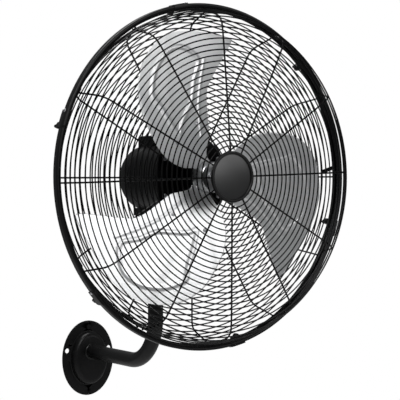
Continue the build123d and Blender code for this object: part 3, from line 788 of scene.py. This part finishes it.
# Centre of the front guard: a coated steel disc with a raised ring, and in the ring a blank
# domed badge, moulded in gloss black.
plate_back = 79.65 * mm
plate_front = 81.65 * mm
plate_radius = 49.4 * mm
badge_radius = 42.9 * mm
badge_edge = 0.5 * mm
badge_rise = 2.8 * mm
centre_disc = turn(fan_place, (
    (plate_back, 0), (plate_back, plate_radius), (plate_front, plate_radius), (plate_front, 0)),
    steps=96, soften=0.6 * mm)
piece("centre_disc", [centre_disc], "head", band_black, ["front_plate"])
bezel = turn(fan_place, (
    (plate_front, 43.05 * mm), (plate_front, plate_radius), (plate_front + 3.2 * mm, 48.4 * mm),
    (plate_front + 3.2 * mm, 44.2 * mm), (plate_front + 1.9 * mm, 43.05 * mm)),
    steps=96, soften=0.5 * mm, closed=True)
piece("badge_bezel", [bezel], "head", band_black, ["badge_ring"])


def dark_gloss(start, place):
    cloud = start.node("ShaderNodeTexNoise", {"Vector": place, "Scale": 30.0, "Detail": 3.0})
    fine = start.node("ShaderNodeTexNoise", {"Vector": place, "Scale": 500.0, "Detail": 1.0})
    return {
        "Base Color": blended(start, cloud, (0.003, 0.003, 0.0032), (0.005, 0.005, 0.0052)),
        "Roughness": cloud * 0.05 + 0.28,
        "Normal": start.node("ShaderNodeBump", {"Height": fine, "Strength": 0.04,
                                                "Distance": 0.0003}),
    }


badge_gloss = finish("badge_gloss", dark_gloss, Specular_IOR_Level=0.7)
dome_steps = 12
dome = [(plate_front, 0), (plate_front, badge_radius)]
for k in range(dome_steps + 1):
    out = 1 - k / dome_steps
    dome.append((plate_front + badge_edge + badge_rise * (1 - out ** 2), badge_radius * out))
piece("badge_dome", [turn(fan_place, dome, steps=96)], "head", badge_gloss,
      ["badge_disc"])

# Hub: turned aluminium with rounded ends, pushed on the motor's shaft and held there by a
# zinc plated screw with its washer.
hub_radius = 30 * mm
hub_front = 22 * mm
hub_back = -48 * mm
hub_bore = 6.2 * mm
washer_front = hub_front + 2 * mm
hub_metal = bare_metal("hub_metal", (0.70, 0.71, 0.72), 0.30, scratch=(60.0, 1200.0, 60.0))
hub = turn(fan_place, (
    (hub_back, hub_bore), (hub_back, hub_radius - 2 * mm), (hub_back + 2 * mm, hub_radius),
    (hub_front - 2 * mm, hub_radius), (hub_front, hub_radius - 2 * mm), (hub_front, hub_bore)),
    steps=96, soften=0.5 * mm, closed=True)
piece("turned_hub", [hub], "rotor", hub_metal, ["fan_hub"])
bolt = [
    turn(fan_place, ((hub_front, 0), (hub_front, 13.3 * mm), (washer_front, 13.3 * mm),
                     (washer_front, 0)), steps=48, soften=0.3 * mm),
    hex_head(fan_place @ Matrix.Translation((0, 0, washer_front)), 19 * mm, 9 * mm),
]
piece("hub_screw", bolt, "rotor", zinc, ["hub_bolt"])

# Blades: three aluminium pressings, cambered and twisted, each stiffened by an embossed loop
# and by a bead along its leading edge. Points along and across a blade are in millimetres.
blade_count = 3
blade_first = 116.4
blade_turns = [blade_first + 360 / blade_count * k for k in range(blade_count)]
blade_sheet = 1.4 * mm
section_leading = -210.0 * mm
section_trailing = 130.0 * mm
root_section = (24.0 * mm, (-54.0 * mm, -12.0 * mm, 40.0 * mm))
tip_section = (306.0 * mm, (-22.0 * mm, -4.0 * mm, 30.0 * mm))
trailing_edge = ((27, 17), (36, 34), (44, 50), (56, 65), (72, 79), (92, 90), (118, 97), (150, 99),
                 (182, 98), (210, 90), (234, 77), (254, 58), (270, 33), (281, 6), (287, -22))
leading_edge = ((24, -22), (38, -19), (50, -27), (60, -37), (72, -48), (95, -58), (117, -67),
                (141, -79), (157, -94), (172, -121), (186, -149), (200, -176), (213, -193),
                (226, -178), (248, -140), (268, -102), (282, -62), (287, -22))
loop_line = ((101, 30), (135, 40), (172, 48), (197, 57), (213, 48), (233, 30), (247, 8),
             (257, -22), (254, -55), (234, -80), (208, -89), (182, -62), (150, -37),
             (136, -14), (119, 14), (101, 30))
bead_line = ((76, -24), (124, -44), (163, -70), (205, -105))
loop_rise = 1.5 * mm
loop_half_width = 6.5 * mm
bead_rise = 0.9 * mm
bead_half_width = 5.0 * mm
root_radius = hub_radius + 1 * mm
steps_along = 130
steps_across = 104


def sheet_height(out, side):
    """How far forward the sheet stands at a place on a blade."""
    share = (out - root_section[0]) / (tip_section[0] - root_section[0])
    leading, middle, trailing = (
        root + (tip - root) * share for root, tip in zip(root_section[1], tip_section[1]))
    t = (side - section_leading) / (section_trailing - section_leading)
    return (leading * (1 - t) * (1 - 2 * t) + 4 * middle * t * (1 - t)
            + trailing * t * (2 * t - 1))


def along_edge(points, share):
    """A smooth curve through the points, by share of the way."""
    place = share * (len(points) - 1)
    k = min(int(place), len(points) - 2)
    t = place - k
    before, start, end, after = (
        Vector(points[max(0, min(len(points) - 1, j))]) for j in (k - 1, k, k + 1, k + 2))
    return 0.5 * (2 * start + (end - before) * t + (2 * before - 5 * start + 4 * end - after)
                  * t * t + (3 * start - before - 3 * end + after) * t * t * t)


def smooth_step(low, high, value):
    t = max(0.0, min(1.0, (value - low) / (high - low)))
    return t * t * (3 - 2 * t)


def sampled(points, count):
    """Points in metres at equal shares of a smooth curve."""
    return [along_edge(points, k / count) * mm for k in range(count + 1)]


def pressed_sheet():
    """One blade lying along the local X axis, with its loop and bead pressed forward."""
    part = bmesh.new()
    bmesh.ops.create_grid(part, x_segments=steps_along, y_segments=steps_across, size=0.5)
    ridges = ((sampled(loop_line, 96), loop_rise, loop_half_width),
              (sampled(bead_line, 40), bead_rise, bead_half_width))
    for vert in part.verts:
        along, over = vert.co.x + 0.5, vert.co.y + 0.5
        low = along_edge(leading_edge, along) * mm
        high = along_edge(trailing_edge, along) * mm
        flat = low + (high - low) * over
        if flat.length < root_radius:
            flat = flat.normalized() * root_radius
        height = sheet_height(flat.x, flat.y)
        for line, rise, half_width in ridges:
            away = min(hypot(flat.x - point.x, flat.y - point.y) for point in line)
            height += rise * (1 - smooth_step(0.0, half_width, away))
        vert.co = Vector((flat.x, flat.y, height))
    return part


def rolled_aluminium(start, place):
    drawn = start.node("ShaderNodeMapping", {"Vector": place, "Scale": (9.0, 9.0, 420.0)})
    lines = start.node("ShaderNodeTexNoise", {"Vector": drawn, "Scale": 1.0, "Detail": 3.0})
    cloud = start.node("ShaderNodeTexNoise", {"Vector": place, "Scale": 7.0, "Detail": 3.0})
    return {
        "Base Color": blended(start, cloud, (0.80, 0.805, 0.81), (0.90, 0.905, 0.91)),
        "Roughness": lines * 0.05 + cloud * 0.06 + 0.25,
        "Normal": start.node("ShaderNodeBump", {"Height": lines, "Strength": 0.05,
                                                "Distance": 0.0002}),
    }


blade_metal = finish("blade_metal", rolled_aluminium, Metallic=0.85)
blank_blade = pressed_sheet()
for number, angle in enumerate(blade_turns, 1):
    turned_sheet = blank_blade.copy()
    bmesh.ops.transform(turned_sheet, matrix=around(angle), verts=turned_sheet.verts)
    blade = piece(f"pressed_blade_{number}", [turned_sheet], "rotor", blade_metal,
                  [f"blade_{number}"])
    gauge = blade.modifiers.new("gauge", "SOLIDIFY")
    gauge.thickness = blade_sheet
    gauge.offset = 1.0
blank_blade.free()

# Spider: a black enamelled steel collar pressed on the hub, and three flat steel arms bent to
# the backs of the blades. Three zinc rivets go through each blade into its arm.
arm_outline = ((28.6, -9.5), (26, -17), (55, -24), (100, -38), (113, -30), (104, 52), (86, 57),
               (29, 16), (30.2, 0))
arm_corner = 6 * mm
arm_thick = 2.4 * mm
arm_gap = 0.1 * mm
arm_step = 7 * mm
arm_root = 28 * mm
collar_back = -47 * mm
collar_front = -12 * mm
collar_bore = 30.1 * mm
collar_radius = 33 * mm
rivet_places = ((103, -25), (95, 44), (62, 11))


def at_blade(angle, out, side, lift):
    """The point of the fan's frame that lies lift in front of a place on a blade."""
    turned = radians(angle)
    return Vector((out * cos(turned) - side * sin(turned), out * sin(turned) + side * cos(turned),
                   sheet_height(out, side) + lift))


def bent_arm(angle):
    """A flat arm bent to the blade's back, cut in small steps so that it can bend."""
    part = bmesh.new()
    part.faces.new([part.verts.new((out * mm, side * mm, 0)) for out, side in arm_outline])
    corners = [vert for vert in part.verts if vert.co.x > 50 * mm]
    bmesh.ops.bevel(part, geom=corners, offset=arm_corner, segments=4, profile=0.5,
                    affect="VERTICES", material=-1)
    cuts = [((arm_root + arm_step * k, 0, 0), (1, 0, 0)) for k in range(1, 13)]
    cuts += [((0, arm_step * k, 0), (0, 1, 0)) for k in range(-5, 10)]
    for point, direction in cuts:
        bmesh.ops.bisect_plane(part, geom=part.verts[:] + part.edges[:] + part.faces[:],
                               plane_co=point, plane_no=direction)
    for vert in part.verts:
        vert.co = fan_place @ at_blade(angle, vert.co.x, vert.co.y, -arm_gap)
    raised = bmesh.ops.extrude_face_region(part, geom=part.faces[:])
    back = [vert for vert in raised["geom"] if isinstance(vert, bmesh.types.BMVert)]
    bmesh.ops.translate(part, verts=back, vec=(0, arm_thick, 0))
    return part


collar = turn(fan_place, (
    (collar_back, collar_bore), (collar_back, collar_radius), (collar_front, collar_radius),
    (collar_front, collar_bore)), steps=96, soften=0.8 * mm, closed=True)
arms = [bent_arm(angle) for angle in blade_turns]
piece("collar_and_arms", [collar, *arms], "rotor", motor_black, ["blade_spider"])
rivets = []
for angle in blade_turns:
    for out, side in rivet_places:
        spot = fan_place @ Matrix.Translation(at_blade(angle, out * mm, side * mm, blade_sheet))
        rivets.append(turn(spot, ((-1 * mm, 0), (-1 * mm, 4.4 * mm), (0.6 * mm, 4.2 * mm),
                                  (1.7 * mm, 2.8 * mm), (2.1 * mm, 0)), steps=20))
piece("blade_rivets", rivets, "rotor", zinc)

# Inside the motor: the laminated stator with its copper windings, the bearings, the capacitor,
# the switch, the rotor's core and the shaft. They keep the CAD shapes and get their finishes.
steel = bare_metal("steel", (0.55, 0.55, 0.57), 0.32)
laminated = bare_metal("laminated", (0.26, 0.26, 0.27), 0.45, scratch=(30.0, 2000.0, 30.0))
enamelled_copper = bare_metal("enamelled_copper", (0.72, 0.36, 0.16), 0.35,
                              scratch=(700.0, 60.0, 700.0))
for node, material in (
    ("stator_core", laminated), ("stator_windings", enamelled_copper),
    ("motor_bearings", steel), ("capacitor", black_plastic), ("speed_switch", black_plastic),
    ("rotor_core", laminated), ("motor_shaft", steel),
):
    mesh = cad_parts[node].data
    mesh.materials.clear()
    mesh.materials.append(material)
